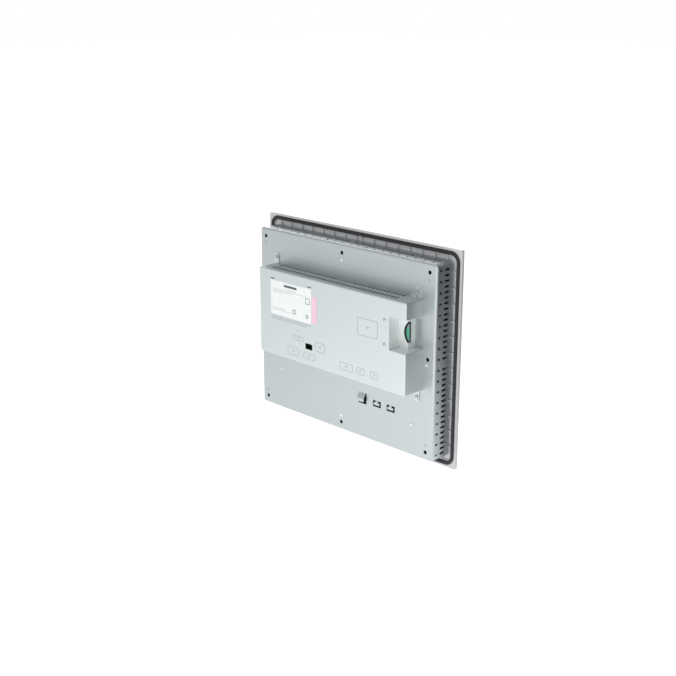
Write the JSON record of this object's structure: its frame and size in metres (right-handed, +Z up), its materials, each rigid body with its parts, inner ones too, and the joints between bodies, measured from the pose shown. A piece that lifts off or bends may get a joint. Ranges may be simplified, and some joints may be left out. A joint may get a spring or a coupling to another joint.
{
  "type": "hmi touch panel",
  "caption": "Built-in operator touch panel with a flat bezel and sealing gasket, a vented sheet metal rear housing, a raised electronics cover, a card recess and a row of sockets.",
  "frame": {"origin": "centre of the panel cutout in the sealing plane, which is the rear face of the bezel frame", "axes": "-Y is the way the screen faces and +Y the way the rear cover faces, +Z is up, +X is the left side seen from behind"},
  "size_m": [0.335, 0.0662, 0.275],
  "materials": {
    "bezel": "painted light grey die casting, satin",
    "black_plastic": "moulded black plastic",
    "board": "green solder mask",
    "cable": "pale flat cable jacket",
    "card_body": "moulded black card body",
    "card_label": "printed green card label",
    "casting": "bare die casting, blasted",
    "cell": "nickel plated can",
    "connector_shell": "tinned shell",
    "contact": "plated contact",
    "cover_sheet": "galvanised sheet, light satin",
    "display": "dark display cell",
    "display_frame": "bare pressed sheet",
    "fastener": "zinc plated",
    "foil": "printed polyester foil, fine texture",
    "gasket": "matt dark grey moulded strip",
    "heat_sink": "extruded, bare",
    "housing_sheet": "galvanised sheet, satin",
    "label_pink": "laminated pale pink label",
    "label_white": "laminated white label",
    "lever": "pale moulded lever",
    "light_guide": "clear moulded light guide",
    "terminal_green": "moulded green terminal body",
    "touch_glass": "dark anti-glare touch glass"
  },
  "bodies": {
    "chassis": {"front_frame": "bezel", "inner_frame": "casting", "front_foil": "foil", "touch_glass": "touch_glass", "lcd_cell": "display", "light_guide": "light_guide", "lcd_frame": "display_frame", "panel_gasket": "gasket", "rear_housing": "housing_sheet", "housing_screws": "fastener", "housing_rivets": "fastener", "inverter_board": "board", "lamp_cable": "cable", "electronics_cover": "cover_sheet", "cover_screws": "fastener", "main_board": "board", "board_spacers": "fastener", "board_screws": "fastener", "processor": "black_plastic", "heat_sink": "heat_sink", "battery_holder": "black_plastic", "battery_cell": "cell", "display_cable": "cable", "card_bracket": "cover_sheet", "bracket_screws": "fastener", "card_guide": "black_plastic", "card_header": "black_plastic", "dip_body": "black_plastic", "rating_label": "label_white", "seal_label": "label_pink", "power_socket": "terminal_green", "power_clamps": "contact", "dsub_shell_a": "connector_shell", "dsub_insert_a": "black_plastic", "dsub_shell_b": "connector_shell", "dsub_insert_b": "black_plastic", "jack_posts": "fastener", "lan_shield": "connector_shell", "lan_insert": "black_plastic", "usb_shell_a": "connector_shell", "usb_tongue_a": "black_plastic", "usb_shell_b": "connector_shell", "usb_tongue_b": "black_plastic"},
    "card": {"memory_card": "card_body", "card_label": "card_label"},
    "lever_1": {"dip_lever_1": "lever"},
    "lever_2": {"dip_lever_2": "lever"},
    "lever_3": {"dip_lever_3": "lever"},
    "lever_4": {"dip_lever_4": "lever"}
  },
  "joints": [
    {"name": "card_slide", "type": "slide", "parent": "chassis", "child": "card", "axis": [-1, 0, 0], "range_m": [0, 0.03]},
    {"name": "lever_1_slide", "type": "slide", "parent": "chassis", "child": "lever_1", "axis": [0, 0, 1], "range_m": [0, 0.0016]},
    {"name": "lever_2_slide", "type": "slide", "parent": "chassis", "child": "lever_2", "axis": [0, 0, 1], "range_m": [0, 0.0016]},
    {"name": "lever_3_slide", "type": "slide", "parent": "chassis", "child": "lever_3", "axis": [0, 0, 1], "range_m": [0, 0.0016]},
    {"name": "lever_4_slide", "type": "slide", "parent": "chassis", "child": "lever_4", "axis": [0, 0, 1], "range_m": [0, 0.0016]}
  ]
}
